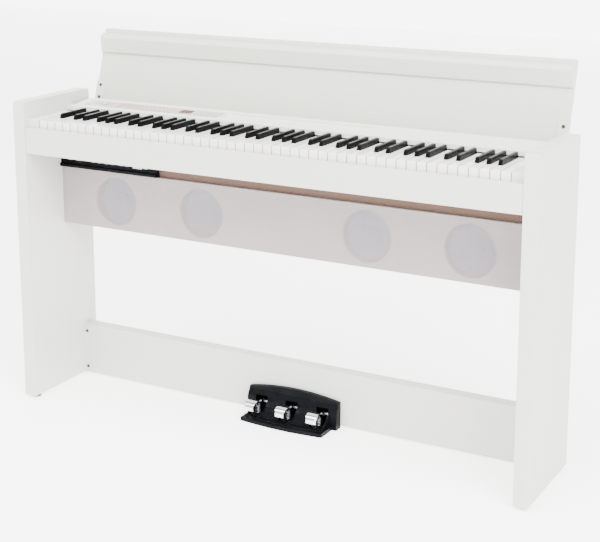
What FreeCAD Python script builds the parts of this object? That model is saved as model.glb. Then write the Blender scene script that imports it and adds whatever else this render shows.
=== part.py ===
"""Slim 88-key digital piano on its own stand, drawn with the lid open.

Units are millimetres.  X runs to the player's right, Y away from the player and Z up.  The piano is
drawn with y = 0 at the front edges of the side panels; export() then moves every piece so that the
origin lies on the floor under the middle of the whole open piano.
"""
import FreeCAD, Part
import math
import os

os.makedirs("parts", exist_ok=True)
Vec = FreeCAD.Vector

# ---- overall cabinet ----
overall_width = 1355.0
side_depth = 262.0
side_height = 772.0
panel_thickness = 33.0
panel_corner_radius = 9.0
board_edge_radius = 1.2
glide_height = 8.0
glide_radius = 11.0
glide_inset = 25.0

# ---- keyboard ----
white_count = 52
white_pitch = 23.5
white_gap = 1.1
white_visible = 150.0
white_head = 50.0
white_body = 22.0
black_width = 9.8
black_visible = 95.5
black_rise = 12.0
black_front_slope = 6.0
black_gap = 1.0
key_tail_drop = 6.0
key_tail_height = 20.0
octave_start = 23
key_top_z = 726.0
key_front_y = 20.0
hinge_rod_radius = 2.5
hinge_rod_back = 212.0
hinge_rod_drop = 20.0
rod_clearance = 0.4

# ---- boards round the keyboard ----
slip_front_y = 3.0
slip_thickness = 15.0
slip_top_z = 707.0
slip_bottom_z = 643.0
keybed_thickness = 15.0
keybed_lift = 2.0
console_front_z = 740.0
console_back_y = 252.0
console_back_z = 749.0
console_back_thickness = 12.0
console_skin = 3.0
name_board_height = 11.0
name_board_gap = 3.0
cheek_gap = 1.5
key_frame_sheet = 3.0

# ---- control plate and music ledge, measured on the sloping console top ----
plate_left = -604.0
plate_right = -206.0
plate_front = 18.0
plate_depth = 44.0
plate_thickness = 2.0
plate_gap = 0.4
ledge_half_width = 200.0
ledge_front = 21.0
ledge_depth = 42.0
ledge_recess = 5.0
button_radius = 3.2
button_gap = 0.4
button_proud = 1.2
button_height = 3.4
button_travel = 0.8
sound_button_xs = [-436.0 + 12.5 * i for i in range(8)]
song_button_xs = [-270.0, -255.0, -240.0, -225.0]
display_left = -324.0
display_width = 36.0
display_depth = 26.0
slider_left = -586.0
slider_length = 56.0
slider_slot = 3.0
knob_length = 9.0
knob_depth = 12.0
power_x = -631.5
power_radius = 5.0

# ---- jack box between the keybed and the grille ----
jack_box_right = -348.0
jack_box_front = 138.0
jack_box_wall = 2.5
jack_box_gap = 2.0
jack_lip_depth = 6.0
jack_lip_height = 8.0
jack_radius = 3.2
jack_depth = 11.0
jack_collar_radius = 6.0
jack_collar_proud = 2.0
jack_inset = 34.0
jack_rise = 30.0
jack_spacing = 26.0

# ---- speaker panel ----
grille_y = 141.8
grille_bottom_z = 438.0
grille_top_z = 586.0
cloth_thickness = 1.2
grille_board = 7.0
baffle_thickness = 12.0
speaker_xs = [-477.0, -224.0, 224.0, 477.0]
speaker_z = 511.0
speaker_hole_radius = 58.0
window_radius = 62.0
speaker_tray_back = 240.0
tray_thickness = 10.0

# ---- stretcher near the floor ----
stretcher_y = 214.0
stretcher_thickness = 32.0
stretcher_bottom_z = 6.0
stretcher_top_z = 142.5
bracket_width = 14.0
bracket_thickness = 1.6

# ---- pedal unit ----
pedal_spacing = 85.0
pedal_width = 28.0
pedal_front_y = 132.0
pedal_length_to_axle = 70.0
pedal_axle_z = 34.0
pedal_axle_radius = 4.0
pedal_bore_clearance = 0.05
base_half_width = 113.0
base_front_y = 128.0
base_front_bow = 9.0
base_thickness = 12.0
base_rim_height = 9.5
base_rim_width = 8.0
cover_half_width = 125.0
cover_end_height = 67.0
cover_arch_height = 79.0
cover_wall = 3.0
pedal_slot_gap = 2.5
spring_wire = 1.6
spring_radius = 7.0

# ---- lid ----
lid_thickness = 15.0
lid_edge_radius = 4.0
lid_end_gap = 6.5
lid_front_y = 4.0
lid_rear_y = 260.0
lid_pivot_y = 232.0
lid_pivot_z = 714.0
lid_lean_deg = 16.0
rail_length = 52.0
rail_setback = 12.0
rail_rear_drop = 6.0
rail_front_drop = 19.0
arm_thickness = 3.0
arm_flange_width = 27.0
arm_flange_start = 4.0
arm_flange_length = 86.0
arm_flange_thickness = 2.5
arm_boss_radius = 12.0
hinge_pin_radius = 4.0
hinge_pin_clearance = 0.05
arm_slot_width = 13.5

# ---- derived places ----
half_width = overall_width / 2.0
inner_x = half_width - panel_thickness
keys_half = white_count * white_pitch / 2.0
white_width = white_pitch - white_gap
name_board_y = key_front_y + white_visible
key_end_y = name_board_y - name_board_gap
rod_y = key_front_y + hinge_rod_back
rod_z = key_top_z - hinge_rod_drop
key_bottom_z = key_top_z - white_body
tail_top_z = key_top_z - key_tail_drop
tail_bottom_z = tail_top_z - key_tail_height
keybed_bottom_z = slip_bottom_z + keybed_lift
keybed_top_z = keybed_bottom_z + keybed_thickness
slip_back_y = slip_front_y + slip_thickness
console_inner_y = console_back_y - console_back_thickness
tail_end_y = console_inner_y - 2.0
console_run = console_back_y - name_board_y
console_slope = math.atan2(console_back_z - console_front_z, console_run)
console_length = console_run / math.cos(console_slope)
lid_lean = math.radians(lid_lean_deg)
lid_top = side_height - lid_pivot_z
lid_under = lid_top - lid_thickness
lid_reach = lid_pivot_y - lid_front_y
lid_tail = lid_rear_y - lid_pivot_y
lid_nose_reach = (lid_reach - lid_edge_radius) * math.sin(lid_lean)
lid_nose_back = (lid_top - lid_edge_radius) * math.cos(lid_lean)
open_depth = lid_pivot_y + lid_nose_reach + lid_nose_back + lid_edge_radius
pedal_axle_y = pedal_front_y + pedal_length_to_axle


def box(x0, x1, y0, y1, z0, z1):
    """A block between two corners."""
    return Part.makeBox(x1 - x0, y1 - y0, z1 - z0, Vec(x0, y0, z0))


def rod(radius, start, end):
    """A round bar from one point to another."""
    run = end.sub(start)
    return Part.makeCylinder(radius, run.Length, start, run)


def prism_x(points, x0, x1):
    """A (y, z) outline drawn out along X."""
    wire = Part.makePolygon([Vec(x0, y, z) for y, z in points + points[:1]])
    return Part.Face(wire).extrude(Vec(x1 - x0, 0, 0))


def prism_z(points, z0, z1):
    """An (x, y) outline drawn out along Z."""
    wire = Part.makePolygon([Vec(x, y, z0) for x, y in points + points[:1]])
    return Part.Face(wire).extrude(Vec(0, 0, z1 - z0))


def mirrored(shape):
    """The same piece on the other side of the piano."""
    return shape.mirror(Vec(0, 0, 0), Vec(1, 0, 0))


def both_sides(shape):
    return [shape, mirrored(shape)]


def fillet_edges(shape, radius, wanted):
    """Round the edges whose two ends both satisfy wanted(point)."""
    edges = [e for e in shape.Edges if all(wanted(v.Point) for v in e.Vertexes)]
    return shape.makeFillet(radius, edges)


def on_console(shape):
    """Place a piece drawn on a flat console top (y from its front edge, z = 0 on its face)."""
    placed = shape.copy()
    placed.rotate(Vec(0, 0, 0), Vec(1, 0, 0), math.degrees(console_slope))
    placed.translate(Vec(0, name_board_y, console_front_z))
    return placed


def on_lid(shape):
    """Place a piece drawn on the closed lid, with the pivot as origin, in the open position."""
    placed = shape.copy()
    placed.rotate(Vec(0, 0, 0), Vec(1, 0, 0), -(90.0 + lid_lean_deg))
    placed.translate(Vec(0, lid_pivot_y, lid_pivot_z))
    return placed


def export(node, shapes):
    """Write one node's solids, moved so that the origin is under the middle of the open piano."""
    solids = [solid for shape in shapes for solid in shape.Solids]
    whole = Part.makeCompound(solids) if len(solids) > 1 else solids[0]
    whole.translate(Vec(0, -open_depth / 2.0, 0))
    whole.exportStep("parts/" + node + ".step")


def side_panel():
    """Right side panel: one board from the glides to the lid's level."""
    panel = box(inner_x, half_width, 0, side_depth, glide_height, side_height)
    panel = fillet_edges(panel, panel_corner_radius, lambda p: p.z > side_height - 1 and abs(p.y) < 1)
    back = side_depth - 1
    panel = fillet_edges(panel, panel_corner_radius, lambda p: p.z > side_height - 1 and p.y > back)
    panel = fillet_edges(panel, board_edge_radius, lambda p: p.z > glide_height + 1)
    pin_hole = rod(
        hinge_pin_radius,
        Vec(inner_x - 1, lid_pivot_y, lid_pivot_z),
        Vec(inner_x + pin_depth, lid_pivot_y, lid_pivot_z),
    )
    panel = panel.cut(pin_hole)
    for y, z in cap_places:
        pocket = rod(cap_pocket_radius, Vec(half_width - cap_pocket_depth, y, z), Vec(half_width + 1, y, z))
        panel = panel.cut(pocket)
    return panel


def make_cabinet():
    """Side panels with their glides and the plastic caps over the cabinet screws."""
    panel = side_panel()
    export("right_side_panel", [panel])
    export("left_side_panel", [mirrored(panel)])
    glide_x = half_width - panel_thickness / 2.0
    glides = []
    for y in (glide_inset, side_depth - glide_inset):
        glides += both_sides(rod(glide_radius, Vec(glide_x, y, 0), Vec(glide_x, y, glide_height)))
    export("floor_glides", glides)
    caps = []
    for y, z in cap_places:
        start = Vec(half_width - cap_pocket_depth, y, z)
        end = Vec(half_width - cap_set_in, y, z)
        caps += both_sides(rod(cap_pocket_radius - cap_gap, start, end))
    export("screw_caps", caps)


def make_key_boards():
    """Keybed, key slip, cheek blocks and the console's back board."""
    export("keybed", [box(-inner_x, inner_x, slip_back_y, console_inner_y, keybed_bottom_z, keybed_top_z)])
    slip = box(-inner_x, inner_x, slip_front_y, slip_back_y, slip_bottom_z, slip_top_z)
    slip = fillet_edges(slip, slip_edge_radius, lambda p: abs(p.y - slip_front_y) < 0.1)
    export("key_slip", [slip])
    cheek = box(keys_half + cheek_gap, inner_x, slip_back_y, key_end_y, keybed_top_z, key_top_z + 1.0)
    cheek = fillet_edges(cheek, 1.5, lambda p: p.z > key_top_z and p.y < slip_back_y + 1)
    export("cheek_blocks", both_sides(cheek))
    back = box(-inner_x, inner_x, console_inner_y, console_back_y, slip_bottom_z, console_front_z)
    slot = box(inner_x - arm_slot_width, inner_x, 0, side_depth, arm_slot_bottom, side_height)
    back = back.cut(slot).cut(mirrored(slot))
    export("console_back", [back])


def make_console_top():
    """Sloping top with the name-board at its front, the plate pocket and the music ledge."""
    reach = console_length
    end = inner_x - 0.5
    top = box(-end, end, 0, reach, -console_skin, 0)
    top = fillet_edges(top, 1.2, lambda p: abs(p.y) < 0.1 and p.z > -0.1)
    tray = box(
        -ledge_half_width - console_skin,
        ledge_half_width + console_skin,
        ledge_front - console_skin,
        ledge_front + ledge_depth + console_skin,
        -ledge_recess - console_skin,
        0,
    )
    pocket = box(
        plate_left - plate_gap,
        plate_right + plate_gap,
        plate_front - plate_gap,
        plate_front + plate_depth + plate_gap,
        -plate_thickness,
        1,
    )
    bed = box(
        plate_left - console_skin,
        plate_right + console_skin,
        plate_front - console_skin,
        plate_front + plate_depth + console_skin,
        -plate_thickness - console_skin,
        0,
    )
    recess = box(
        -ledge_half_width, ledge_half_width, ledge_front, ledge_front + ledge_depth, -ledge_recess, 1
    )
    recess = fillet_edges(recess, 4.0, lambda p: abs(p.z + ledge_recess) < 0.1 and p.y > ledge_front + 1)
    top = top.fuse(tray).fuse(bed).cut(recess).cut(pocket)
    for shape in plate_openings(button_gap):
        top = top.cut(shape)
    power_hole = Part.makeCylinder(power_radius + button_gap, 20, Vec(power_x, power_y, -15))
    top = on_console(top.cut(power_hole))
    name_board = box(
        -end,
        end,
        name_board_y + 0.2,
        name_board_y + 0.2 + console_skin,
        console_front_z - name_board_height,
        console_front_z - 1.5,
    )
    top = top.fuse(name_board)
    slot = box(inner_x - arm_slot_width, inner_x + 1, arm_slot_front, side_depth, 600, 800)
    top = top.cut(slot).cut(mirrored(slot)).removeSplitter()
    export("console_top", [top])


def plate_openings(gap):
    """What passes through the control plate: buttons, the slider's stem and the display."""
    cuts = []
    for x, y in button_places:
        cuts.append(Part.makeCylinder(button_radius + gap, 20, Vec(x, y, -15)))
    half = slider_slot / 2.0
    cuts.append(box(slider_left, slider_left + slider_length, slider_y - half, slider_y + half, -15, 5))
    return cuts


def make_controls():
    """Control plate, display window, buttons, volume slider and the board under them."""
    back = plate_front + plate_depth
    plate = box(plate_left, plate_right, plate_front, back, -plate_thickness, 0)
    window = box(
        display_left,
        display_left + display_width,
        display_y - display_depth / 2.0,
        display_y + display_depth / 2.0,
        -plate_thickness,
        0,
    )
    plate = plate.cut(window)
    for shape in plate_openings(button_gap):
        plate = plate.cut(shape)
    export("control_plate", [on_console(plate)])
    export("display_window", [on_console(window)])
    buttons = []
    low = button_proud - button_height - button_travel
    for x, y in button_places:
        cap = Part.makeCylinder(button_radius, button_proud - low, Vec(x, y, low))
        cap = fillet_edges(cap, 0.5, lambda p: p.z > 0)
        buttons.append(on_console(cap))
    export("panel_buttons", buttons)
    cap = Part.makeCylinder(power_radius, button_proud - low, Vec(power_x, power_y, low))
    export("power_button", [on_console(fillet_edges(cap, 0.6, lambda p: p.z > 0))])
    knob_x = slider_left + knob_rest
    stem_half = slider_slot / 2.0 - button_gap
    knob = box(
        knob_x - knob_length / 2.0,
        knob_x + knob_length / 2.0,
        slider_y - knob_depth / 2.0,
        slider_y + knob_depth / 2.0,
        knob_lift,
        knob_top,
    )
    top_edges = [e for e in knob.Edges if all(v.Z > knob_top - 0.1 for v in e.Vertexes)]
    knob = knob.makeChamfer(knob_chamfer, top_edges)
    stem_x0 = knob_x - stem_length / 2.0
    stem = box(
        stem_x0,
        stem_x0 + stem_length,
        slider_y - stem_half,
        slider_y + stem_half,
        -stem_drop,
        knob_lift + 0.1,
    )
    export("volume_knob", [on_console(knob.fuse(stem))])
    board_bottom = -board_drop - circuit_thickness
    board = box(plate_left + 6, plate_right - 4, plate_front + 2, back - 2, board_bottom, -board_drop)
    posts = []
    for x in (plate_left + 12, (slider_left + slider_length + display_left) / 2.0 - 34, plate_right - 10):
        for y in (plate_front + 5, back - 5):
            post_height = board_drop - plate_thickness - console_skin
            posts.append(Part.makeCylinder(post_radius, post_height, Vec(x, y, -board_drop)))
    for post in posts:
        board = board.fuse(post)
    export("main_circuit_board", [on_console(board)])


def make_key_frame():
    """Long chassis sheet with three ribs: front rest, contact rest and the rear bar for the rod."""
    half = keys_half
    sheet = box(-half, half, key_front_y + 3, tail_end_y, keybed_top_z, keybed_top_z + key_frame_sheet)
    front_rest = box(-half, half, key_front_y + 6, key_front_y + 20, keybed_top_z, front_rest_z)
    contact_rest = box(-half, half, contact_y, contact_y + contact_depth, keybed_top_z, contact_z)
    rear_bar = box(-half, half, rod_y - 3, rod_y + 3, keybed_top_z, rod_z - hinge_rod_radius)
    export("key_frame", [sheet.fuse([front_rest, contact_rest, rear_bar]).removeSplitter()])
    export("key_hinge_rod", [rod(hinge_rod_radius, Vec(-half, rod_y, rod_z), Vec(half, rod_y, rod_z))])
    board_top = contact_z + circuit_thickness
    board = box(-half, half, contact_y + 2, contact_y + contact_depth - 2, contact_z, board_top)
    domes = []
    for k in range(white_count):
        x = -keys_half + white_pitch * (k + 0.5)
        y = contact_y + contact_depth / 2.0
        domes.append(Part.makeCone(dome_foot, dome_tip, dome_height, Vec(x, y, board_top)))
    export("key_contact_board", [board] + domes)


def key_profile(top_points):
    """Side outline of a key: its own top, then the shared tail with a notch over the rod."""
    notch_top = rod_z + hinge_rod_radius + rod_clearance
    notch_half = hinge_rod_radius + rod_clearance
    return top_points + [
        (key_end_y, tail_top_z),
        (tail_end_y, tail_top_z),
        (tail_end_y, tail_foot_z),
        (rod_y + notch_half, tail_foot_z),
        (rod_y + notch_half, notch_top),
        (rod_y - notch_half, notch_top),
        (rod_y - notch_half, tail_foot_z),
        (rod_y - 10.0, tail_foot_z),
        (rod_y - 14.0, tail_bottom_z),
        (key_end_y, tail_bottom_z),
    ]


def black_after(k):
    """Offset of the black key after white key k from the gap, or None where there is none."""
    return {"A": 2.7, "C": -2.3, "D": 2.3, "F": -2.7, "G": 0.0}.get("ABCDEFG"[k % 7])


def white_key(k):
    """White key k, cut back on each side where a black key stands."""
    left = -white_width / 2.0
    right = white_width / 2.0
    rear_left = left
    rear_right = right
    reach = black_width / 2.0 + black_gap
    if k > 0 and black_after(k - 1) is not None:
        rear_left = -white_pitch / 2.0 + black_after(k - 1) + reach
    if k < white_count - 1 and black_after(k) is not None:
        rear_right = white_pitch / 2.0 + black_after(k) - reach
    head_end = key_front_y + white_head
    outline = [
        (left, key_front_y),
        (right, key_front_y),
        (right, head_end),
        (rear_right, head_end),
        (rear_right, tail_end_y),
        (rear_left, tail_end_y),
        (rear_left, head_end),
        (left, head_end),
    ]
    outline = [p for i, p in enumerate(outline) if p not in outline[:i]]
    plan = prism_z(outline, tail_bottom_z - 1, key_top_z + 1)
    side = key_profile(
        [
            (key_front_y, key_bottom_z),
            (key_front_y, key_top_z - 1.6),
            (key_front_y + 0.5, key_top_z - 0.5),
            (key_front_y + 1.6, key_top_z),
            (key_end_y, key_top_z),
        ]
    )
    key = prism_x(side, -white_pitch, white_pitch).common(plan).removeSplitter()
    key.translate(Vec(-keys_half + white_pitch * (k + 0.5), 0, 0))
    return key


def black_key():
    """One black key at x = 0: sloped nose, slightly narrower top."""
    top = key_top_z + black_rise
    nose = name_board_y - black_visible - name_board_gap
    side = key_profile(
        [
            (nose, key_bottom_z),
            (nose, key_top_z + 1.0),
            (nose + black_front_slope * 0.55, top - 2.5),
            (nose + black_front_slope, top - 0.6),
            (nose + black_front_slope + 2.5, top),
            (key_end_y, top),
        ]
    )
    half = black_width / 2.0
    section = [
        (-half, tail_bottom_z - 1),
        (half, tail_bottom_z - 1),
        (half, key_top_z),
        (half - 0.7, top - 1.1),
        (half - 1.6, top + 0.01),
        (-half + 1.6, top + 0.01),
        (-half + 0.7, top - 1.1),
        (-half, key_top_z),
    ]
    wire = Part.makePolygon([Vec(x, 0, z) for x, z in section + section[:1]])
    across = Part.Face(wire).extrude(Vec(0, side_depth, 0))
    return prism_x(side, -half, half).common(across).removeSplitter()


def make_keys():
    """One octave as single keys, and the keys each side of it as banks."""
    names = {"C": "c", "D": "d", "E": "e", "F": "f", "G": "g", "A": "a", "B": "b"}
    banks = {"bass_white_keys": [], "bass_black_keys": [], "treble_white_keys": [], "treble_black_keys": []}
    master = black_key()
    for k in range(white_count):
        letter = names["ABCDEFG"[k % 7]]
        in_octave = octave_start <= k < octave_start + 7
        side = "bass" if k < octave_start else "treble"
        white = white_key(k)
        if in_octave:
            export("key_" + letter, [white])
        else:
            banks[side + "_white_keys"].append(white)
        if k == white_count - 1 or black_after(k) is None:
            continue
        black = master.copy()
        black.translate(Vec(-keys_half + white_pitch * (k + 1) + black_after(k), 0, 0))
        if in_octave:
            export("key_" + letter + "_sharp", [black])
        else:
            banks[side + "_black_keys"].append(black)
    for node, keys in banks.items():
        export(node, keys)


def make_jack_box():
    """Black box over the grille's left end, with a lip along its foot and two headphone sockets."""
    left = -inner_x + 0.5
    back = grille_y + cloth_thickness + grille_board
    bottom = grille_top_z + jack_box_gap
    wall = jack_box_wall
    front = jack_box_front
    shell = box(left, jack_box_right, front, back, bottom, keybed_bottom_z)
    hollow_right = jack_box_right - wall
    hollow_top = keybed_bottom_z - wall
    shell = shell.cut(box(left + wall, hollow_right, front + wall, back + 1, bottom + wall, hollow_top))
    lip = box(left, jack_box_right, front - jack_lip_depth, front, bottom, bottom + jack_lip_height)
    lip = fillet_edges(lip, 1.5, lambda p: p.y < front - jack_lip_depth + 0.1)
    shell = shell.fuse(lip).removeSplitter()
    sockets = []
    for i in range(2):
        x = left + jack_inset + jack_spacing * i
        z = bottom + jack_rise
        mouth = Vec(x, front - jack_collar_proud, z)
        collar = rod(jack_collar_radius, mouth, Vec(x, front + wall, z))
        shell = shell.cut(collar)
        barrel = rod(jack_collar_radius - 1.0, mouth, Vec(x, mouth.y + jack_depth + 2.0, z))
        bore = rod(jack_radius, Vec(x, mouth.y - 1, z), Vec(x, mouth.y + jack_depth, z))
        sockets.append(collar.fuse(barrel).cut(bore))
    export("jack_box", [shell])
    export("headphone_sockets", sockets)


def ring_y(outline, x, z):
    """A (radius, y) outline turned about a line along Y through (x, z)."""
    wire = Part.makePolygon([Vec(x + r, y, z) for r, y in outline + outline[:1]])
    return Part.Face(wire).revolve(Vec(x, 0, z), Vec(0, 1, 0), 360)


def make_speakers():
    """Cloth-covered grille board, baffle, tray and four loudspeakers."""
    end = inner_x - 0.5
    board_y = grille_y + cloth_thickness
    baffle_y = board_y + grille_board
    rear_y = baffle_y + baffle_thickness
    export("grille_cloth", [box(-end, end, grille_y, board_y, grille_bottom_z, grille_top_z)])
    board = box(-end, end, board_y, baffle_y, grille_bottom_z, grille_top_z)
    baffle = box(-inner_x, inner_x, baffle_y, rear_y, grille_bottom_z, keybed_bottom_z)
    drivers = []
    cones = []
    for x in speaker_xs:
        board = board.cut(rod(window_radius, Vec(x, 0, speaker_z), Vec(x, side_depth, speaker_z)))
        baffle = baffle.cut(rod(speaker_hole_radius, Vec(x, 0, speaker_z), Vec(x, side_depth, speaker_z)))
        rim = speaker_hole_radius + 5.0
        outline = [
            (speaker_hole_radius - 3.0, rear_y),
            (rim, rear_y),
            (rim, rear_y + 3.0),
            (speaker_hole_radius, rear_y + 3.0),
            (34.0, rear_y + 26.0),
            (34.0, rear_y + 28.0),
            (40.0, rear_y + 28.0),
            (40.0, rear_y + 46.0),
            (0.0, rear_y + 46.0),
            (0.0, rear_y + 24.0),
            (31.0, rear_y + 24.0),
        ]
        drivers.append(ring_y(outline, x, speaker_z))
        cone = [
            (0.0, rear_y + 8.0),
            (14.0, rear_y + 12.0),
            (18.0, rear_y + 17.0),
            (47.0, rear_y + 2.0),
            (50.0, rear_y - 1.0),
            (57.0, rear_y - 1.5),
            (57.0, rear_y),
            (54.5, rear_y),
            (50.0, rear_y + 1.0),
            (47.5, rear_y + 4.0),
            (18.0, rear_y + 19.5),
            (0.0, rear_y + 23.9),
        ]
        cones.append(ring_y(cone, x, speaker_z))
    export("grille_board", [board])
    export("speaker_baffle", [baffle])
    export("speaker_drivers", drivers)
    export("speaker_cones", cones)
    tray = box(-inner_x, inner_x, rear_y, speaker_tray_back, grille_bottom_z, slip_bottom_z)
    inner_back = speaker_tray_back - tray_thickness
    tray = tray.cut(box(-inner_x, inner_x, rear_y - 1, inner_back, grille_bottom_z + tray_thickness, 999))
    export("speaker_tray", [tray])


def make_stretcher():
    """Board between the side panels near the floor, with a bracket and two screws at each end."""
    front = stretcher_y
    back = stretcher_y + stretcher_thickness
    board = box(-inner_x, inner_x, front, back, stretcher_bottom_z, stretcher_top_z)
    board = fillet_edges(board, board_edge_radius, lambda p: p.z > stretcher_top_z - 0.1)
    low = stretcher_bottom_z + 4.0
    high = stretcher_top_z - 4.0
    strip = box(inner_x - bracket_width, inner_x, front - bracket_thickness, front, low, high)
    screws = []
    seat = front - bracket_thickness
    crown = seat - screw_head_height
    for z in (low + 13.0, high - 16.0):
        x = inner_x - bracket_width / 2.0
        strip = strip.cut(rod(screw_radius + screw_hole_gap, Vec(x, front - 5, z), Vec(x, front + 1, z)))
        hole_end = front + stretcher_screw_reach + 2.0
        board = board.cut(rod(screw_radius, Vec(x, front - 1, z), Vec(x, hole_end, z)))
        board = board.cut(rod(screw_radius, Vec(-x, front - 1, z), Vec(-x, hole_end, z)))
        head = rod(screw_head_radius, Vec(x, crown, z), Vec(x, seat, z))
        head = fillet_edges(head, 1.0, lambda p: p.y < crown + 0.1)
        shank = rod(screw_radius, Vec(x, seat, z), Vec(x, front + stretcher_screw_reach, z))
        screws += both_sides(head.fuse(shank))
    export("stretcher", [board])
    export("stretcher_brackets", both_sides(strip))
    export("stretcher_screws", screws)


def smooth_line(points):
    """A curve through points given in mm."""
    curve = Part.BSplineCurve()
    curve.interpolate(points)
    return curve.toShape()


def pedal():
    """The middle pedal: a chromed shoe that curves down at its nose, on a flat arm to the axle."""
    nose = pedal_front_y
    half = pedal_width / 2.0
    rear = pedal_axle_y + 8.0
    top = [
        (nose, 32.0),
        (nose - 1.2, 39.5),
        (nose + 2.0, 47.0),
        (nose + 9.0, 51.5),
        (nose + 22.0, 52.0),
        (nose + 38.0, 48.5),
        (rear, 46.5),
    ]
    under = [
        (pedal_axle_y - 9.0, 27.0),
        (nose + 44.0, 37.5),
        (nose + 26.0, 43.5),
        (nose + 12.0, 46.5),
        (nose + 5.5, 42.5),
        (nose + 4.2, 32.0),
    ]
    upper = smooth_line([Vec(-half, y, z) for y, z in top])
    heel = Part.makePolygon([Vec(-half, rear, 46.5), Vec(-half, rear, 27.0), Vec(-half, under[0][0], 27.0)])
    lower = smooth_line([Vec(-half, y, z) for y, z in under])
    lip = Part.makePolygon([Vec(-half, *under[-1]), Vec(-half, *top[0])])
    side = Part.Wire(Part.sortEdges([upper] + heel.Edges + [lower] + lip.Edges)[0])
    shoe = Part.Face(side).extrude(Vec(pedal_width, 0, 0))
    waist = half - 5.0
    plan = [(half - 4.0, nose - 3.0), (half, nose + 6.0), (half - 0.6, nose + 24.0), (waist, nose + 46.0)]
    right = smooth_line([Vec(x, y, 0) for x, y in plan])
    left = smooth_line([Vec(-x, y, 0) for x, y in plan])
    tail = Part.makePolygon(
        [Vec(waist, nose + 46.0, 0), Vec(waist, rear, 0), Vec(-waist, rear, 0), Vec(-waist, nose + 46.0, 0)]
    )
    front = Part.makePolygon([Vec(half - 4.0, nose - 3.0, 0), Vec(-half + 4.0, nose - 3.0, 0)])
    plan_wire = Part.Wire(Part.sortEdges([right] + tail.Edges + [left] + front.Edges)[0])
    shoe = shoe.common(Part.Face(plan_wire).extrude(Vec(0, 0, 99)))
    radius = pedal_axle_radius + pedal_bore_clearance
    bore = rod(radius, Vec(-99, pedal_axle_y, pedal_axle_z), Vec(99, pedal_axle_y, pedal_axle_z))
    return shoe.cut(bore)


def arch_outline(half, end_height, mid_height, y0, y1):
    """A block whose top is a shallow arch, from the floor up."""
    left = Vec(-half, y0, end_height)
    right = Vec(half, y0, end_height)
    arch = Part.Arc(left, Vec(0, y0, mid_height), right).toShape()
    rest = Part.makePolygon([right, Vec(half, y0, 0), Vec(-half, y0, 0), left])
    return Part.Face(Part.Wire([arch] + rest.Edges)).extrude(Vec(0, y1 - y0, 0))


def base_plate(inset, thickness):
    """A bowed plate of the pedal base, set in from its outline, with its top edge rounded."""
    half = base_half_width - inset
    corner_y = base_front_y + base_front_bow + inset
    left = Vec(-half, corner_y, 0)
    right = Vec(half, corner_y, 0)
    front = Part.Arc(left, Vec(0, base_front_y + inset, 0), right).toShape()
    rest = Part.makePolygon([right, Vec(half, stretcher_y, 0), Vec(-half, stretcher_y, 0), left])
    plate = Part.Face(Part.Wire([front] + rest.Edges)).extrude(Vec(0, 0, thickness))
    return fillet_edges(plate, 2.0, lambda p: p.z > thickness - 0.1 and p.y < stretcher_y - 1)


def make_pedals():
    """Base plate, arched cover, axle, pedals, return springs and rubber stops."""
    xs = {"left": -pedal_spacing, "middle": 0.0, "right": pedal_spacing}
    rim = base_plate(0.0, base_rim_height)
    step = base_plate(base_rim_width, base_thickness)
    export("pedal_base", [rim.fuse(step).removeSplitter()])

    wall = cover_wall
    end = cover_half_width
    back = stretcher_y
    low = cover_end_height - wall
    arch = arch_outline(end, cover_end_height, cover_arch_height, base_front_y, back)
    face = [
        (back, 0.0),
        (back, 99.0),
        (back - cover_rim_depth, 99.0),
        (back - cover_rim_depth - 3.0, 62.0),
        (cover_front_y + 2.0, 47.0),
        (cover_front_y, base_thickness),
        (cover_front_y, 0.0),
    ]
    inside = [
        (back - wall, -1.0),
        (back - wall, low),
        (back - cover_rim_depth + 1.0, low),
        (back - cover_rim_depth, 61.0),
        (cover_front_y + 2.0 + wall, 46.0),
        (cover_front_y + wall, base_thickness),
        (cover_front_y + wall, -1.0),
    ]
    ramp = [
        (cover_front_y + 1.5, 40.0),
        (cover_front_y - 8.0, 28.5),
        (cover_front_y - 20.0, 20.0),
        (cover_front_y - 34.0, 15.0),
        (cover_front_y - ramp_reach, base_thickness + 1.5),
        (cover_front_y - ramp_reach, 0.0),
        (cover_front_y + 1.5, 0.0),
    ]
    under_ramp = [
        (cover_front_y + 1.5, 35.0),
        (cover_front_y - 6.5, 25.5),
        (cover_front_y - 19.0, 17.0),
        (cover_front_y - 29.0, base_thickness),
        (cover_front_y - 29.0, -1.0),
        (cover_front_y + 1.5, -1.0),
    ]
    ramp_end = base_half_width - base_rim_width - 1.0
    cover = arch.common(prism_x(face, -end, end)).fuse(prism_x(ramp, -ramp_end, ramp_end))
    cover = cover.cut(prism_x(inside, -end + wall, end - wall))
    cover = cover.cut(prism_x(under_ramp, -ramp_end + wall, ramp_end - wall))
    cover = cover.cut(box(-base_half_width - 0.5, base_half_width + 0.5, 0, back + 1, -1, base_thickness))
    for x in xs.values():
        half = pedal_width / 2.0 + pedal_slot_gap
        cover = cover.cut(box(x - half, x + half, 0, pedal_axle_y + 9.0, base_thickness, pedal_slot_top))
    cover = cover.removeSplitter()
    export("pedal_cover", [cover])

    bar = rod(
        pedal_axle_radius,
        Vec(-cover_half_width + wall, pedal_axle_y, pedal_axle_z),
        Vec(cover_half_width - wall, pedal_axle_y, pedal_axle_z),
    )
    export("pedal_axle", [bar])
    master = pedal()
    stops = []
    for side, x in xs.items():
        shoe = master.copy()
        shoe.translate(Vec(x, 0, 0))
        export(side + "_pedal", [shoe])
        coil = Part.makeHelix(spring_pitch, spring_length, spring_radius)
        section = Part.Wire(
            Part.Circle(Vec(spring_radius, 0, 0), Vec(0, 1, 0), spring_wire / 2.0).toShape()
        )
        spring = Part.Wire(coil).makePipeShell([section], True, True)
        spring.translate(Vec(x, spring_y, base_thickness + spring_wire / 2.0))
        export(side + "_pedal_spring", [spring])
        stops.append(Part.makeCone(stop_foot, stop_tip, stop_height, Vec(x, stop_y, base_thickness)))
    export("pedal_stops", stops)


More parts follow.
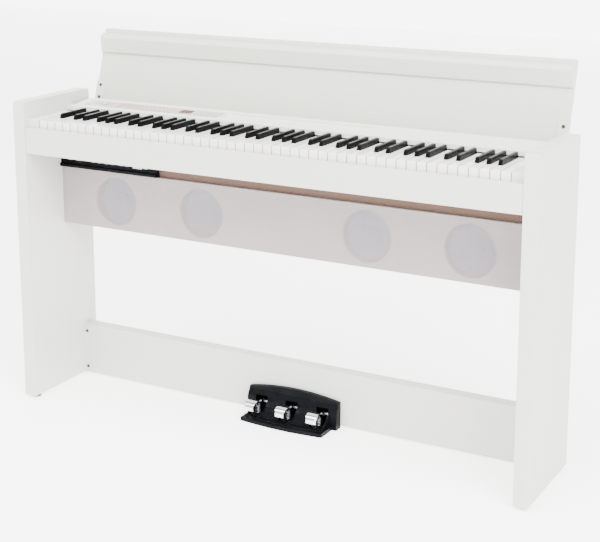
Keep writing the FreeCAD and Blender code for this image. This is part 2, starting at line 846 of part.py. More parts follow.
def make_lid():
    """Long lid with its front rail and two hinge arms, drawn closed about the pivot."""
    end = inner_x - lid_end_gap
    board = box(-end, end, -lid_reach, lid_tail, lid_under, lid_top)
    board = fillet_edges(board, lid_edge_radius, lambda p: p.y < -lid_reach + 1 and p.z > lid_top - 1)
    board = fillet_edges(board, board_edge_radius, lambda p: p.y > lid_tail - 1 and p.z > lid_top - 1)
    export("lid_board", [on_lid(board)])

    front = -lid_reach + rail_setback
    rear = front + rail_length
    nose = Vec(-end, front, lid_under - 1.0)
    belly = Vec(-end, front + 5.0, lid_under - rail_front_drop * 0.72)
    keel = Vec(-end, front + 17.0, lid_under - rail_front_drop)
    heel = Vec(-end, rear - 2.0, lid_under - rail_rear_drop)
    step = Vec(-end, rear, lid_under - rail_rear_drop + 2.0)
    arc = Part.Arc(nose, belly, keel).toShape()
    seat_rear = Vec(-end, rear, lid_under)
    seat_front = Vec(-end, front + 1.0, lid_under)
    rest = Part.makePolygon([keel, heel, step, seat_rear, seat_front, nose])
    rail = Part.Face(Part.Wire([arc] + rest.Edges)).extrude(Vec(2 * end, 0, 0))
    export("lid_front_rail", [on_lid(rail)])

    flange_low = lid_under - arm_flange_thickness
    web_x1 = end + 0.5 + arm_thickness
    web_x0 = end + 0.5
    flange = box(
        web_x1 - arm_flange_width,
        web_x1,
        -arm_flange_start - arm_flange_length,
        -arm_flange_start,
        flange_low,
        lid_under,
    )
    web = prism_x([(8.0, 8.0), (-4.0, flange_low), (-40.0, flange_low), (-8.0, -8.0)], web_x0, web_x1)
    boss = rod(arm_boss_radius, Vec(web_x0, 0, 0), Vec(web_x1, 0, 0))
    hole = rod(hinge_pin_radius + hinge_pin_clearance, Vec(web_x0 - 9, 0, 0), Vec(web_x1 + 9, 0, 0))
    arm = web.fuse(boss).fuse(flange)
    screws = []
    for y in (-arm_flange_start - 42.0, -arm_flange_start - 74.0):
        x = web_x1 - arm_flange_width / 2.0
        arm = arm.cut(rod(screw_radius + screw_hole_gap, Vec(x, y, flange_low - 1), Vec(x, y, lid_under)))
        crown = flange_low - screw_head_height
        head = rod(screw_head_radius, Vec(x, y, crown), Vec(x, y, flange_low))
        head = fillet_edges(head, 1.0, lambda p: p.z < crown + 0.1)
        shank = rod(screw_radius, Vec(x, y, flange_low), Vec(x, y, lid_under))
        screws += [on_lid(s) for s in both_sides(head.fuse(shank))]
    arm = arm.cut(hole).removeSplitter()
    export("lid_hinge_arms", [on_lid(a) for a in both_sides(arm)])
    export("lid_hinge_screws", screws)

    centre = (lid_pivot_y, lid_pivot_z)
    pin = rod(hinge_pin_radius, Vec(web_x0 - 2.5, *centre), Vec(inner_x + pin_depth, *centre))
    head = rod(6.5, Vec(web_x0 - 2.8, *centre), Vec(web_x0 - 0.3, *centre))
    shoulder = rod(6.5, Vec(web_x1 + 0.3, *centre), Vec(inner_x, *centre))
    export("lid_hinge_pins", both_sides(pin.fuse(head).fuse(shoulder)))


# ---- small fitted values, placed from the sizes above ----
slip_edge_radius = 2.0
screw_radius = 2.0
screw_hole_gap = 0.1
screw_head_radius = 4.2
screw_head_height = 1.8
stretcher_screw_reach = 20.0
pin_depth = 12.0
cap_pocket_radius = 8.0
cap_pocket_depth = 3.0
cap_gap = 0.3
cap_set_in = 0.2
cap_places = [(28.0, keybed_top_z + 11.0), (side_depth - 26.0, keybed_top_z + 14.0)]
arm_slot_bottom = lid_pivot_z - arm_boss_radius - 3.0
arm_slot_front = lid_pivot_y - 46.0
plate_middle = plate_front + plate_depth / 2.0
slider_y = plate_middle - 4.0
display_y = plate_middle + 2.0
power_y = 8.8
button_places = [(x, plate_middle - 8.0) for x in sound_button_xs]
button_places += [(x, plate_middle + 8.0) for x in sound_button_xs]
button_places += [(x, plate_middle) for x in song_button_xs]
board_drop = 10.0
circuit_thickness = 1.6
post_radius = 1.8
dome_foot = 4.0
dome_tip = 2.5
dome_height = 5.0
knob_rest = 34.72
knob_lift = 0.4
knob_top = 4.6
knob_chamfer = 1.2
stem_length = 5.0
stem_drop = 5.0
front_rest_z = key_bottom_z - 11.0
contact_y = key_front_y + 98.0
contact_depth = 34.0
contact_z = key_bottom_z - 20.0
tail_foot_z = rod_z - 2.0
cover_front_y = stretcher_y - 23.0
cover_rim_depth = 9.0
ramp_reach = 41.0
pedal_slot_top = 50.5
spring_y = pedal_axle_y - 30.0
spring_length = 23.0
spring_pitch = 4.0
stop_y = pedal_front_y + 22.0
stop_height = 23.8
stop_foot = 6.0
stop_tip = 5.0

make_cabinet()
make_key_boards()
make_console_top()
make_controls()
make_key_frame()
make_keys()
make_jack_box()
make_speakers()
make_stretcher()
make_pedals()
make_lid()
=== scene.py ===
import math

import bmesh
import bpy
from mathutils import Matrix, Vector


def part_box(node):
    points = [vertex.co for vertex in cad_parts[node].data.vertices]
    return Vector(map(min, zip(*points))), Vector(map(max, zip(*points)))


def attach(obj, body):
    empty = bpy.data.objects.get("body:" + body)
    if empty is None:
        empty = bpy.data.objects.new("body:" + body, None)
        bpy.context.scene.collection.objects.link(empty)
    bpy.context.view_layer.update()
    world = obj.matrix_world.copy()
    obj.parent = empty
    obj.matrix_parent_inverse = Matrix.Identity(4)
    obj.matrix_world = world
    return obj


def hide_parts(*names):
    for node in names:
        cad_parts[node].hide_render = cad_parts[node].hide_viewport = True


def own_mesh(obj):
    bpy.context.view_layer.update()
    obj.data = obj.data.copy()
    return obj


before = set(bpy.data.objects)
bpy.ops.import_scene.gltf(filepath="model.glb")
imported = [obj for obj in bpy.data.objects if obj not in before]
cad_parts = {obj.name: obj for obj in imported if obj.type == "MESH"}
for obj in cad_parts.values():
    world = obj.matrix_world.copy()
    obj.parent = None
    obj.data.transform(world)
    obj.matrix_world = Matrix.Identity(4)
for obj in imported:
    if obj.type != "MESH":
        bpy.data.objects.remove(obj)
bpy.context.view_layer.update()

# ---- Camera ----
# A long lens set to the right of the piano and above the lid, as in the photo.
# The lens is shifted down, because the photo keeps upright lines upright.
camera_data = bpy.data.cameras.new("camera")
camera_data.lens = 82.11
camera_data.sensor_width = 36.0
camera_data.shift_y = -0.17
camera_data.clip_end = 60.0
camera = bpy.data.objects.new("camera", camera_data)
camera.location = (1.54885, -2.74198, 1.32242)
camera.rotation_euler = (math.radians(90.0 - 12.24), 0.0, math.radians(28.92))
bpy.context.scene.collection.objects.link(camera)
bpy.context.scene.camera = camera


# ---- Floor and studio light ----
# A pale studio floor under a white room, lit by large soft boxes.
# None of it is part of the piano.
WHITE = (1.0, 1.0, 1.0, 1.0)


def linear(hex_colour):
    """An sRGB colour written as hex, as a linear colour with alpha."""
    out = []
    for i in (0, 2, 4):
        value = int(hex_colour[i : i + 2], 16) / 255.0
        if value <= 0.04045:
            out.append(value / 12.92)
        else:
            out.append(((value + 0.055) / 1.055) ** 2.4)
    return (out[0], out[1], out[2], 1.0)


def add(tree, kind, settings=None, inputs=None, links=None):
    """Adds a shader node, sets its options and socket values, and links its inputs."""
    node = tree.nodes.new(kind)
    for name, value in (settings or {}).items():
        setattr(node, name, value)
    for name, value in (inputs or {}).items():
        node.inputs[name].default_value = value
    for name, source in (links or {}).items():
        tree.links.new(source, node.inputs[name])
    return node


def new_material(name):
    """An empty material with a Principled shader; gives the material, its tree and the shader."""
    material = bpy.data.materials.new(name)
    material.use_nodes = True
    tree = material.node_tree
    tree.nodes.clear()
    shader = add(tree, "ShaderNodeBsdfPrincipled")
    output = add(tree, "ShaderNodeOutputMaterial")
    tree.links.new(shader.outputs["BSDF"], output.inputs["Surface"])
    return material, tree, shader


def in_mm(tree, size_mm):
    """Object coordinates divided so that one pattern unit is size_mm, one size for each axis."""
    coordinates = add(tree, "ShaderNodeTexCoord")
    scale = tuple(1000.0 / s for s in size_mm)
    mapping = add(
        tree,
        "ShaderNodeMapping",
        inputs={"Scale": scale},
        links={"Vector": coordinates.outputs["Object"]},
    )
    return mapping.outputs["Vector"]


def noise(tree, size_mm, detail=3.0, roughness=0.5):
    """A noise value from 0 to 1 whose patches are about size_mm."""
    node = add(
        tree,
        "ShaderNodeTexNoise",
        inputs={"Scale": 1.0, "Detail": detail, "Roughness": roughness},
        links={"Vector": in_mm(tree, size_mm)},
    )
    return node.outputs["Fac"]


def ramp(tree, value, stops):
    """Turns a value into colours; stops are (place, hex colour)."""
    node = add(tree, "ShaderNodeValToRGB", links={"Fac": value})
    elements = node.color_ramp.elements
    elements[0].position = stops[0][0]
    elements[0].color = linear(stops[0][1])
    elements[1].position = stops[-1][0]
    elements[1].color = linear(stops[-1][1])
    for place, colour in stops[1:-1]:
        element = elements.new(place)
        element.color = linear(colour)
    return node.outputs["Color"]


def spread(tree, value, low, high):
    """Maps a pattern's middle range to low and high."""
    node = add(
        tree,
        "ShaderNodeMapRange",
        inputs={"From Min": 0.3, "From Max": 0.7, "To Min": low, "To Max": high},
        links={"Value": value},
    )
    return node.outputs["Result"]


def bump(tree, shader, height, distance_mm, strength=1.0):
    """Raises the surface by a pattern, with its depth in mm."""
    node = add(
        tree,
        "ShaderNodeBump",
        inputs={"Distance": distance_mm / 1000.0, "Strength": strength},
        links={"Height": height},
    )
    tree.links.new(node.outputs["Normal"], shader.inputs["Normal"])


def finish_plain(
    name, stops, patch_mm, rough, bump_mm, grain_mm, metallic=0.0, coat=0.0, shine=0.5
):
    """A material with a soft colour change, a roughness change and a fine surface grain."""
    material, tree, shader = new_material(name)
    patches = noise(tree, patch_mm)
    tree.links.new(ramp(tree, patches, stops), shader.inputs["Base Color"])
    grain = noise(tree, grain_mm, detail=2.0)
    tree.links.new(spread(tree, grain, rough[0], rough[1]), shader.inputs["Roughness"])
    shader.inputs["Specular IOR Level"].default_value = shine
    shader.inputs["Metallic"].default_value = metallic
    shader.inputs["Coat Weight"].default_value = coat
    shader.inputs["Coat Roughness"].default_value = 0.08
    bump(tree, shader, grain, bump_mm)
    return material


def paint(node, material):
    """Gives a CAD node's material slots this material."""
    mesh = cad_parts[node].data
    if not mesh.materials:
        mesh.materials.append(material)
    for i in range(len(mesh.materials)):
        mesh.materials[i] = material


def soft_box(name, place, target, size, power):
    """A square area light that looks at a point."""
    data = bpy.data.lights.new(name, "AREA")
    data.shape = "SQUARE"
    data.size = size
    data.energy = power
    light = bpy.data.objects.new(name, data)
    light.location = place
    direction = Vector(target) - Vector(place)
    light.rotation_euler = direction.to_track_quat("-Z", "Y").to_euler()
    bpy.context.scene.collection.objects.link(light)


def white_sheet(name, finish_name, half_size, glow, turn):
    """A square of white studio paper that glows a little, as a lit sweep does behind a product."""
    paper = finish_plain(
        finish_name,
        [(0.3, "FAFAFA"), (0.7, "FCFCFC")],
        (900, 900, 900),
        (0.7, 0.8),
        0.02,
        (5, 5, 5),
    )
    paper_shader = paper.node_tree.nodes["Principled BSDF"]
    paper_shader.inputs["Emission Color"].default_value = WHITE
    paper_shader.inputs["Emission Strength"].default_value = glow
    mesh = bpy.data.meshes.new(name)
    build = bmesh.new()
    bmesh.ops.create_grid(build, x_segments=2, y_segments=2, size=half_size, matrix=turn)
    build.to_mesh(mesh)
    build.free()
    mesh.materials.append(paper)
    sheet = bpy.data.objects.new(name, mesh)
    bpy.context.scene.collection.objects.link(sheet)


backdrop_place = Matrix.Translation((-4.5, 8.0, 0.0))
backdrop_turn = backdrop_place @ Matrix.Rotation(math.radians(90.0), 4, "X")
# matt white paper on the floor
white_sheet("floor", "studio floor", 14.0, 2.3, Matrix.Identity(4))
# the same paper upright behind the piano, lit more strongly
white_sheet("backdrop", "lit backdrop", 9.0, 3.1, backdrop_turn)

world = bpy.data.worlds.new("white room")
world.use_nodes = True
sky = world.node_tree.nodes["Background"]
sky.inputs["Color"].default_value = WHITE
sky.inputs["Strength"].default_value = 1.9
bpy.context.scene.world = world

middle_of_piano = (0.0, 0.0, 0.5)
soft_box("key light", (3.2, -2.2, 3.0), middle_of_piano, 2.2, 420.0)
soft_box("top light", (-0.4, -1.2, 3.6), middle_of_piano, 3.0, 330.0)


# ---- Side panels, lid, key slip, keybed, back board and stretcher ----
# Fibreboard faced with a white melamine foil, cut to shape and edge banded.
# The panels stand on the floor; the other boards are screwed between them.
def laminate(name, light, dark, grain_size):
    """White foil: a faint grain along one axis, slightly uneven gloss and a fine print relief."""
    material, tree, shader = new_material(name)
    grain = noise(tree, grain_size, detail=4.0, roughness=0.6)
    tree.links.new(ramp(tree, grain, [(0.25, dark), (0.75, light)]), shader.inputs["Base Color"])
    fine = noise(tree, (2.5, 2.5, 2.5), detail=2.0)
    tree.links.new(spread(tree, fine, 0.42, 0.52), shader.inputs["Roughness"])
    bump(tree, shader, grain, 0.05, 0.5)
    return material


# off-white foil with its grain running along the piano
laminate_long = laminate("white foil, grain along", "C9C9C2", "C2C2BA", (260.0, 5.0, 5.0))
# the same foil with its grain running up
laminate_up = laminate("white foil, grain upright", "CACAC4", "C4C4BC", (5.0, 5.0, 260.0))
# the lid gets a slightly warmer, darker copy of the same foil: painted shade for its underside, which
# lies in shade
laminate_lid_shaded = laminate("white foil on the lid, painted shade", "C5C6BC", "BFC0B5", (300.0, 6.0, 6.0))
for panel in ("left_side_panel", "right_side_panel"):
    paint(panel, laminate_up)
for board in ("key_slip", "stretcher", "console_back", "keybed"):
    paint(board, laminate_long)
for board in ("lid_board", "lid_front_rail"):
    paint(board, laminate_lid_shaded)

# ---- Cheek blocks, console top and screw caps ----
# Injection-moulded off-white plastic with a fine spark-eroded skin.
# The console top clips over the keys' rear; the caps push into the panels.
# matt off-white plastic that softly spreads light
console_plastic = finish_plain(
    "console plastic",
    [(0.3, "CFD0CA"), (0.7, "D6D7D2")],
    (70, 70, 70),
    (0.38, 0.5),
    0.04,
    (0.9, 0.9, 0.9),
)
for node in ("console_top", "cheek_blocks", "screw_caps"):
    paint(node, console_plastic)

# ---- Baffle, speaker box and grille board ----
# Raw fibreboard, sawn; the grille board is painted before the cloth goes on.
# The baffle carries the loudspeakers and shows as a brown strip above the cloth.
# brown pressed fibres with darker specks, darkened overall as painted shade for the strip that lies
# in shade under the key slip
fibreboard = finish_plain(
    "fibreboard darkened as painted shade",
    [(0.25, "4C382F"), (0.5, "5A443A"), (0.75, "675044")],
    (2.2, 1.2, 1.2),
    (0.75, 0.9),
    0.12,
    (0.8, 0.8, 0.8),
)
# pale pinkish-grey primer that shows through the cloth
primer = finish_plain(
    "grey primer",
    [(0.3, "A99B98"), (0.7, "B0A29E")],
    (120, 60, 60),
    (0.7, 0.8),
    0.05,
    (1.5, 1.5, 1.5),
)
for node in ("speaker_baffle", "speaker_tray"):
    paint(node, fibreboard)
paint("grille_board", primer)


# ---- Grille cloth ----
# A plain polyester cloth stretched over the grille board and glued at its edges.
# It is thin enough to show the round openings of the loudspeakers behind it.
def piece(name, build, material, body="cabinet"):
    """Makes a piece from a bmesh, in the row frame, and lets it ride on a body."""
    mesh = bpy.data.meshes.new(name)
    build.normal_update()
    build.to_mesh(mesh)
    build.free()
    mesh.materials.append(material)
    thing = bpy.data.objects.new(name, mesh)
    bpy.context.scene.collection.objects.link(thing)
    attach(thing, body)
    return thing


cloth_low, cloth_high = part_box("grille_cloth")
cloth_width = cloth_high.x - cloth_low.x
cloth_height = cloth_high.z - cloth_low.z
cloth_build = bmesh.new()
columns = 161
rows = 19
CLOTH_INSET = 0.0006
cloth_rows = []
for j in range(rows):
    row = []
    for i in range(columns):
        x = cloth_low.x + cloth_width * i / (columns - 1)
        z = cloth_low.z + cloth_height * j / (rows - 1)
        row.append(cloth_build.verts.new((x, cloth_low.y + CLOTH_INSET, z)))
    cloth_rows.append(row)
for j in range(rows - 1):
    for i in range(columns - 1):
        corners = (
            cloth_rows[j][i],
            cloth_rows[j][i + 1],
            cloth_rows[j + 1][i + 1],
            cloth_rows[j + 1][i],
        )
        cloth_build.faces.new(corners)
# open-weave cloth: threads of pinkish grey with light passing between them
cloth_material, tree, shader = new_material("grille cloth")
threads = noise(tree, (1.1, 1.1, 1.1), detail=1.0)
blotches = noise(tree, (140.0, 140.0, 60.0), detail=1.0)
tree.links.new(
    ramp(tree, blotches, [(0.3, "A59EA1"), (0.7, "ACA4A5")]), shader.inputs["Base Color"]
)
tree.links.new(spread(tree, threads, 0.8, 0.95), shader.inputs["Roughness"])
tree.links.new(spread(tree, threads, 0.46, 0.6), shader.inputs["Alpha"])
shader.inputs["Sheen Weight"].default_value = 0.2
bump(tree, shader, threads, 0.15, 0.6)
cloth = piece("grille_cloth_sheet", cloth_build, cloth_material)
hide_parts("grille_cloth")

# ---- Loudspeakers ----
# Four paper cones on pressed steel baskets, screwed to the front of the baffle.
# They show only as bluish-grey discs through the cloth.
# coated paper pulp, bluish grey with a fibrous skin
cone_paper = finish_plain(
    "cone paper", [(0.3, "59637A"), (0.7, "646F85")], (6, 6, 6), (0.6, 0.75), 0.15, (1.2, 1.2, 1.2)
)
# zinc-plated pressed steel
plated_steel = finish_plain(
    "zinc-plated steel",
    [(0.3, "A9ABAD"), (0.7, "BBBDBF")],
    (12, 12, 12),
    (0.28, 0.42),
    0.02,
    (0.7, 0.7, 0.7),
    metallic=1.0,
)
paint("speaker_cones", cone_paper)
paint("speaker_drivers", plated_steel)

# ---- Keys ----
# Moulded keys: the white ones a glossy warm white, the black ones a satin black.
# They pivot on a steel rod at the rear and rest on a plastic frame.
# glossy warm white with a slight depth under the skin
key_white = finish_plain(
    "white key plastic",
    [(0.3, "E6E1E0"), (0.7, "EBE7E5")],
    (60, 90, 60),
    (0.18, 0.26),
    0.008,
    (3, 3, 3),
    coat=0.25,
)
tree = key_white.node_tree
shader = tree.nodes["Principled BSDF"]
shader.inputs["Subsurface Weight"].default_value = 0.05
# each key's long edges, one every key pitch, are painted darker: painted shade for the gaps between
# neighbouring keys
WHITE_PITCH = 0.0235
place = add(tree, "ShaderNodeTexCoord")
along = add(tree, "ShaderNodeSeparateXYZ", links={"Vector": place.outputs["Object"]})
edge = add(tree, "ShaderNodeMath", {"operation": "PINGPONG"}, links={0: along.outputs["X"]})
edge.inputs[1].default_value = WHITE_PITCH / 2.0
gap_shade_share = add(
    tree,
    "ShaderNodeMapRange",
    inputs={"From Min": 0.0006, "From Max": 0.0017, "To Min": 1.0, "To Max": 0.0},
    links={"Value": edge.outputs["Value"]},
)
skin = shader.inputs["Base Color"].links[0].from_socket
gap_shaded_skin = add(
    tree,
    "ShaderNodeMix",
    {"data_type": "RGBA"},
    links={0: gap_shade_share.outputs["Result"], 6: skin},
)
# the painted shade colour in the key gaps
gap_shaded_skin.inputs[7].default_value = linear("A3989A")
tree.links.new(gap_shaded_skin.outputs[2], shader.inputs["Base Color"])
# satin black, rubbed along its length, which picks up a grey sheen on top
key_black = finish_plain(
    "black key plastic",
    [(0.3, "050506"), (0.7, "0A0A0B")],
    (12, 60, 12),
    (0.24, 0.36),
    0.03,
    (0.8, 5.0, 0.8),
    shine=0.05,
)
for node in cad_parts:
    if node.endswith("_sharp") or node.endswith("_black_keys"):
        paint(node, key_black)
    elif node.endswith("_white_keys") or (node.startswith("key_") and len(node) == len("key_c")):
        paint(node, key_white)

# ---- Black plastic parts ----
# The jack box, pedal cover and pedal base are textured black plastic mouldings.
# The key frame is a dark grey moulding, hidden below the keys.
# near-black plastic with a fine leather-like grain
black_plastic = finish_plain(
    "black moulded plastic",
    [(0.3, "060709"), (0.7, "0C0D10")],
    (30, 30, 30),
    (0.34, 0.46),
    0.08,
    (0.8, 0.8, 0.8),
    shine=0.05,
)
# unpainted dark grey frame plastic
frame_plastic = finish_plain(
    "key frame plastic",
    [(0.3, "2A2B2D"), (0.7, "343537")],
    (40, 40, 40),
    (0.5, 0.6),
    0.04,
    (1.2, 1.2, 1.2),
)
for node in ("jack_box", "pedal_cover", "pedal_base"):
    paint(node, black_plastic)
paint("key_frame", frame_plastic)

# ---- Rubber parts ----
# The glides under the panels and the stops under the pedals are black rubber.
# They are pressed or glued in place.
# dull black rubber with a dusty bloom
rubber = finish_plain(
    "black rubber",
    [(0.3, "060607"), (0.7, "0B0B0C")],
    (8, 8, 8),
    (0.75, 0.9),
    0.06,
    (1.0, 1.0, 1.0),
    shine=0.05,
)
for node in ("pedal_stops", "floor_glides"):
    paint(node, rubber)

# ---- Steel parts ----
# Turned pins, springs and screws in bright steel; hinge arms and brackets painted.
# The painted arms are light grey to match the lid.
# bright drawn steel with fine lines
bright_steel = finish_plain(
    "bright steel",
    [(0.3, "8D8F92"), (0.7, "A6A8AB")],
    (4, 4, 4),
    (0.25, 0.38),
    0.01,
    (0.5, 3.0, 0.5),
    metallic=1.0,
)
# dark phosphated screws
screw_steel = finish_plain(
    "dark screw steel",
    [(0.3, "3B3E40"), (0.7, "4A4D4F")],
    (3, 3, 3),
    (0.35, 0.5),
    0.02,
    (0.6, 0.6, 0.6),
    metallic=0.8,
)
# light grey powder coat with a slight orange peel
painted_steel = finish_plain(
    "light grey powder coat",
    [(0.3, "C2C3BF"), (0.7, "CBCCC8")],
    (30, 30, 30),
    (0.35, 0.48),
    0.05,
    (1.6, 1.6, 1.6),
)
for node in ("key_hinge_rod", "pedal_axle", "lid_hinge_pins"):
    paint(node, bright_steel)
# the return springs get shorter as their pedals go down; each is copied into a piece of its own on
# the cabinet
PEDAL_PITCH = 0.085
for side, spring_x in (("left", -PEDAL_PITCH), ("middle", 0.0), ("right", PEDAL_PITCH)):
    paint(side + "_pedal_spring", bright_steel)
    coil_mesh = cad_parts[side + "_pedal_spring"].data.copy()
    coil = bpy.data.objects.new(side + "_return_spring", coil_mesh)
    bpy.context.scene.collection.objects.link(coil)
    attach(coil, "cabinet")
    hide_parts(side + "_pedal_spring")
    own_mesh(coil)
for node in ("lid_hinge_screws", "stretcher_screws"):
    paint(node, screw_steel)
for node in ("lid_hinge_arms", "stretcher_brackets"):
    paint(node, painted_steel)

# ---- Pedals ----
# Three chromed steel shoes that pivot on one axle at the rear.
# The nose of each curves down to the base plate.
# mirror chrome with a faint polishing haze
chrome = finish_plain(
    "polished chrome",
    [(0.3, "D9DADC"), (0.7, "E4E5E7")],
    (20, 20, 20),
    (0.06, 0.12),
    0.004,
    (2.0, 2.0, 2.0),
    metallic=1.0,
)
for side in ("left", "middle", "right"):
    paint(side + "_pedal", chrome)

# ---- Sockets and circuit boards ----
# Nickel-plated headphone sockets, and glass-fibre boards under the console and keys.
# The boards hold the buttons' switches and the key contacts.
# nickel with a warm tint
nickel = finish_plain(
    "nickel plate",
    [(0.3, "A5A19A"), (0.7, "B6B2AB")],
    (3, 3, 3),
    (0.2, 0.3),
    0.01,
    (0.5, 0.5, 0.5),
    metallic=1.0,
)
# green solder mask with darker and lighter patches of copper under it
circuit_board = finish_plain(
    "green circuit board",
    [(0.35, "0F4A2C"), (0.5, "15603A"), (0.65, "1D6E46")],
    (3, 3, 3),
    (0.3, 0.45),
    0.06,
    (1.0, 1.0, 1.0),
)
paint("headphone_sockets", nickel)
for node in ("main_circuit_board", "key_contact_board"):
    paint(node, circuit_board)

# ---- Control plate, buttons, slider and display ----
# A printed film plate let into the console, with moulded buttons through it.
# The display is a dark red window with lit digits under it.
# light grey film with a fine silk-like surface
plate_film = finish_plain(
    "plate film",
    [(0.3, "A5A69C"), (0.7, "AEAFA5")],
    (50, 50, 50),
    (0.3, 0.42),
    0.02,
    (0.7, 0.7, 0.7),
)
# light grey button plastic, slightly glossier than the plate
button_plastic = finish_plain(
    "button plastic",
    [(0.3, "B9BAB4"), (0.7, "C3C4BE")],
    (10, 10, 10),
    (0.28, 0.38),
    0.02,
    (0.8, 0.8, 0.8),
)
# dark red tinted window with a glossy skin
display_glass = finish_plain(
    "display window",
    [(0.3, "2C070C"), (0.7, "380C12")],
    (14, 8, 14),
    (0.1, 0.16),
    0.01,
    (3, 3, 3),
    shine=0.08,
)
paint("control_plate", plate_film)
paint("display_window", display_glass)
for node in ("panel_buttons", "power_button", "volume_knob"):
    paint(node, button_plastic)


# ---- Print on the control plate and lit display ----
# The real plate has small red lettering; plain bars and ticks stand for it here.
# They are screen-printed on the film; the display's three digits shine through the window.
CONSOLE_EDGE = Vector((0.0, -0.004825, 0.740))
CONSOLE_SLOPE = 0.109318


def on_console(x_mm, y_mm, z_mm):
    """A point on the sloping console top, from mm along, back and above its face."""
    turn = Matrix.Rotation(CONSOLE_SLOPE, 3, "X")
    return turn @ Vector((x_mm / 1000.0, y_mm / 1000.0, z_mm / 1000.0)) + CONSOLE_EDGE


def bar(build, x0, x1, y0, y1, height, place, slant=0.0):
    """A thin printed bar on a face; place turns mm on that face into a point."""
    corners = ((x0, y0), (x1, y0), (x1 + slant, y1), (x0 + slant, y1))
    points = [build.verts.new(place(x, y, height)) for x, y in corners]
    build.faces.new(points)


# red screen ink, slightly uneven where it is thin
red_ink = finish_plain(
    "red screen ink",
    [(0.3, "B03A48"), (0.7, "BC4F5A")],
    (2, 2, 2),
    (0.5, 0.6),
    0.01,
    (0.6, 0.6, 0.6),
)
# grey screen ink, with the same thin patches
grey_ink = finish_plain(
    "grey screen ink",
    [(0.3, "6C6D6B"), (0.7, "7C7D7B")],
    (2, 2, 2),
    (0.5, 0.6),
    0.01,
    (0.6, 0.6, 0.6),
)
PRINT_HEIGHT = 0.06
print_build = bmesh.new()
for column in range(8):
    x = -436.0 + 12.5 * column
    for row, width in ((22.0, 9.4), (25.6, 7.2), (38.0, 8.4), (41.6, 9.6), (54.6, 9.0), (58.2, 6.8)):
        left = x - width / 2
        right = x + width / 2 - 1.2 * ((column * 3 + int(row)) % 3)
        bar(print_build, left, right, row, row + 2.2, PRINT_HEIGHT, on_console)
for line in range(6):
    y = 23.0 + 6.3 * line
    odd = line % 2
    for left, right in ((-512.0, -490.0 + 3.0 * odd), (-484.0, -464.0 - 2.0 * odd), (-458.0, -446.0)):
        bar(print_build, left, right, y, y + 2.6, PRINT_HEIGHT, on_console)
bar(print_build, -444.0, -340.0, 61.0, 61.5, PRINT_HEIGHT, on_console)
piece("plate_red_print", print_build, red_ink)
grey_build = bmesh.new()
for tick in range(9):
    x = -584.0 + 6.5 * tick
    bar(grey_build, x, x + 0.9, 44.0, 47.5, PRINT_HEIGHT, on_console)
bar(grey_build, -584.0, -531.0, 50.0, 51.4, PRINT_HEIGHT, on_console)
for x in (-270.0, -255.0, -240.0, -225.0):
    bar(grey_build, x - 4.5, x + 4.5, 47.0, 49.0, PRINT_HEIGHT, on_console)
    bar(grey_build, x - 3.5, x + 3.5, 29.0, 31.0, PRINT_HEIGHT, on_console)
bar(grey_build, -601.0, -586.0, 22.0, 23.2, PRINT_HEIGHT, on_console)
for edge in (18.2, 61.6):
    bar(grey_build, -603.8, -206.2, edge, edge + 0.4, PRINT_HEIGHT, on_console)
for edge in (-603.8, -208.2):
    bar(grey_build, edge, edge + 2.0, 18.2, 61.8, PRINT_HEIGHT, on_console)
piece("plate_grey_print", grey_build, grey_ink)
digit_build = bmesh.new()
segments = {
    "top": (0.0, 6.0, 15.0, 16.8),
    "middle": (0.0, 6.0, 7.5, 9.3),
    "bottom": (0.0, 6.0, 0.0, 1.8),
    "upper_left": (-0.5, 1.0, 9.4, 14.9),
    "lower_left": (-0.5, 1.0, 1.9, 7.4),
    "upper_right": (5.0, 6.5, 9.4, 14.9),
    "lower_right": (5.0, 6.5, 1.9, 7.4),
}
digits = (
    ("upper_right", "lower_right"),
    ("top", "upper_right", "middle", "lower_left", "bottom"),
    ("top", "upper_left", "upper_right", "lower_left", "lower_right", "bottom"),
)
DIGITS_LEFT = -320.5
DIGITS_FRONT = 33.5
DIGIT_PITCH = 10.5
DIGIT_HEIGHT = 0.05
for place, names in enumerate(digits):
    left = DIGITS_LEFT + DIGIT_PITCH * place
    for name in names:
        x0, x1, y0, y1 = segments[name]
        sides = (left + x0, left + x1, DIGITS_FRONT + y0, DIGITS_FRONT + y1)
        bar(digit_build, *sides, DIGIT_HEIGHT, on_console, slant=0.4)
# light-emitting segments seen through red plastic
segment_light, tree, shader = new_material("lit red segments")
glow = noise(tree, (1.5, 1.5, 1.5), detail=1.0)
lit_red = ramp(tree, glow, [(0.3, "8E1420"), (0.7, "A01E28")])
tree.links.new(lit_red, shader.inputs["Emission Color"])
shader.inputs["Base Color"].default_value = linear("7A1010")
shader.inputs["Emission Strength"].default_value = 0.7
piece("display_digits", digit_build, segment_light)


# ---- Marks on the jack box ----
# Small pale labels beside the sockets, and a plain white rating label.
# They are stickers and pad print on the black plastic.
# the CAD measures y from the side panels' fronts; the frame's y is HALF_DEPTH less
HALF_DEPTH = 174.825
JACK_FACE_Y = (138.0 - HALF_DEPTH) / 1000.0
MARK_HEIGHT = 0.1


def on_jack_face(x_mm, y_mm, z_mm):
    """A point on the jack box's upright front, from mm along, up from the floor and forward."""
    return Vector((x_mm / 1000.0, JACK_FACE_Y - z_mm / 1000.0, y_mm / 1000.0))


label_build = bmesh.new()
bar(label_build, -420.0, -392.0, 604.0, 616.0, MARK_HEIGHT, on_jack_face)
bar(label_build, -388.0, -376.0, 606.0, 614.0, MARK_HEIGHT, on_jack_face)
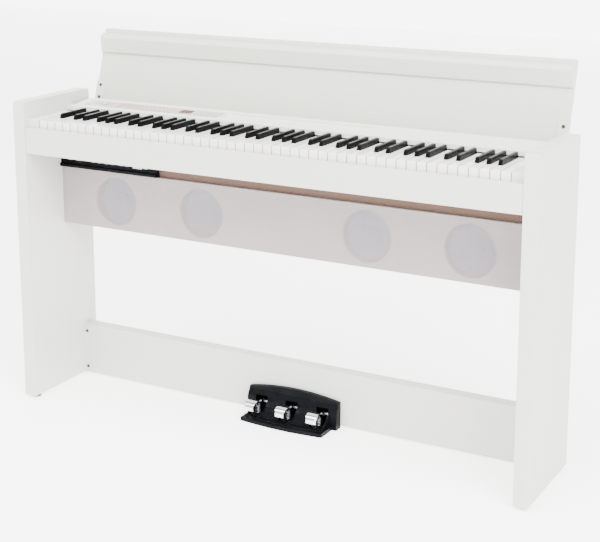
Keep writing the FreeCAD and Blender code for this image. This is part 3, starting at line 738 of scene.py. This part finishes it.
# white paper label with a slight sheen
label_paper = finish_plain(
    "white label paper",
    [(0.3, "C9C9C6"), (0.7, "D6D6D3")],
    (9, 9, 9),
    (0.45, 0.6),
    0.01,
    (0.8, 0.8, 0.8),
)
piece("jack_box_label", label_build, label_paper)
mark_build = bmesh.new()
for x in (-620.0, -594.0, -548.0, -528.0, -508.0, -488.0, -462.0, -444.0):
    bar(mark_build, x, x + 12.0, 606.0, 607.6, MARK_HEIGHT, on_jack_face)
    bar(mark_build, x, x + 8.0, 610.0, 611.2, MARK_HEIGHT, on_jack_face)
piece("jack_box_marks", mark_build, grey_ink)

# ---- Recesses in the screw heads ----
# Cross recesses pressed into the hinge screws and the stretcher screws.
# They are shown as flat crosses of painted shade on the heads, for the shade inside each recess.
LID_PIVOT = Vector((0.0, (232.0 - HALF_DEPTH) / 1000.0, 0.714))
LID_OPENING = 106.0
STRETCHER_FRONT = 214.0
BRACKET_THICKNESS = 1.6
SCREW_HEAD_HEIGHT = 1.8
CROSS_REACH = 2.4
CROSS_HALF_WIDTH = 0.5


def on_lid(x_mm, y_mm, z_mm):
    """A point on the open lid, from mm on the closed lid with its pivot as the origin."""
    turn = Matrix.Rotation(math.radians(-LID_OPENING), 3, "X")
    return turn @ Vector((x_mm / 1000.0, y_mm / 1000.0, z_mm / 1000.0)) + LID_PIVOT


def cross(build, centre_x, centre_y, height, place):
    """A cross recess, as three flat quads."""
    far, near = CROSS_REACH, CROSS_HALF_WIDTH
    quads = ((-far, far, -near, near), (-near, near, -far, -near), (-near, near, near, far))
    for x0, x1, y0, y1 in quads:
        bar(build, centre_x + x0, centre_x + x1, centre_y + y0, centre_y + y1, height, place)


def on_stretcher(x_mm, y_mm, z_mm):
    """A point on the stretcher's screw heads, from mm along, up and forward of the bracket."""
    front = (STRETCHER_FRONT - BRACKET_THICKNESS - SCREW_HEAD_HEIGHT - HALF_DEPTH) / 1000.0
    return Vector((x_mm / 1000.0, front - z_mm / 1000.0, y_mm / 1000.0))


# painted shade: near-black flat crosses stand for the shade inside each recess
recess_painted_shade = finish_plain(
    "screw recess, painted shade",
    [(0.3, "0A0A0B"), (0.7, "101012")],
    (2, 2, 2),
    (0.5, 0.6),
    0.01,
    (0.5, 0.5, 0.5),
)
lid_crosses = bmesh.new()
for x in (-628.0, 628.0):
    for y in (-46.0, -78.0):
        cross(lid_crosses, x, y, 38.65, on_lid)
piece("hinge_screw_recesses", lid_crosses, recess_painted_shade, body="lid")
stretcher_crosses = bmesh.new()
for x in (-637.5, 637.5):
    for z in (23.0, 122.5):
        cross(stretcher_crosses, x, z, 0.05, on_stretcher)
piece("stretcher_screw_recesses", stretcher_crosses, recess_painted_shade)
